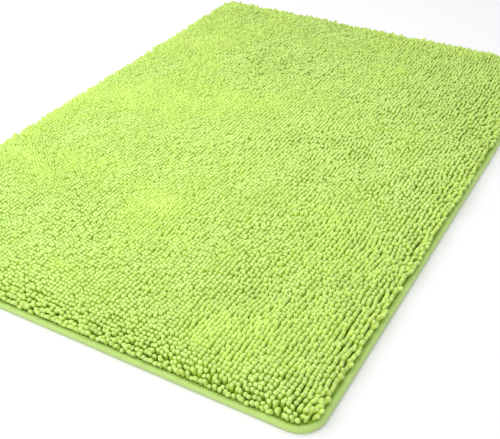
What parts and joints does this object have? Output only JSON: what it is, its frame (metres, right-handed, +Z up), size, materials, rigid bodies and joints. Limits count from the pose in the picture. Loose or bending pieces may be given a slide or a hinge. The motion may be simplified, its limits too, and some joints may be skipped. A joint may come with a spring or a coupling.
{
  "type": "bath mat",
  "caption": "Rectangular tufted chenille bath mat with rounded corners, a sewn edge tape and a non-slip dotted rubber backing, lying flat.",
  "frame": {"origin": "middle of the footprint, on the floor", "axes": "+X across the tuft rows (the 600 mm side), +Y along the tuft rows (the 900 mm side), +Z up out of the pile"},
  "size_m": [0.6, 0.9, 0.02],
  "materials": {
    "chenille_pile": "soft lime green microfibre chenille, matt with a faint sheen",
    "tufting_cloth": "plain woven polyester, dyed to match the pile",
    "latex": "dried latex, off-white, dull",
    "grip_rubber": "thermoplastic rubber, off-white, with raised grip dots",
    "edge_tape": "plain woven polyester bias tape, lime green, smooth",
    "sewing_thread": "spun polyester thread, lime green"
  },
  "bodies": {
    "root": {"pile_rows_01": "chenille_pile", "pile_rows_02": "chenille_pile", "pile_rows_03": "chenille_pile", "pile_rows_04": "chenille_pile", "pile_rows_05": "chenille_pile", "pile_rows_06": "chenille_pile", "pile_rows_07": "chenille_pile", "pile_rows_08": "chenille_pile", "pile_rows_09": "chenille_pile", "pile_rows_10": "chenille_pile", "pile_rows_11": "chenille_pile", "pile_rows_12": "chenille_pile", "pile_rows_13": "chenille_pile", "pile_rows_14": "chenille_pile", "pile_rows_15": "chenille_pile", "pile_rows_16": "chenille_pile", "pile_rows_17": "chenille_pile", "pile_rows_18": "chenille_pile", "pile_rows_19": "chenille_pile", "pile_rows_20": "chenille_pile", "pile_rows_21": "chenille_pile", "pile_rows_22": "chenille_pile", "pile_rows_23": "chenille_pile", "tufting_cloth": "tufting_cloth", "latex_coat": "latex", "grip_backing": "grip_rubber", "edge_binding": "edge_tape", "seam_thread_top": "sewing_thread", "seam_thread_under": "sewing_thread"}
  },
  "joints": []
}
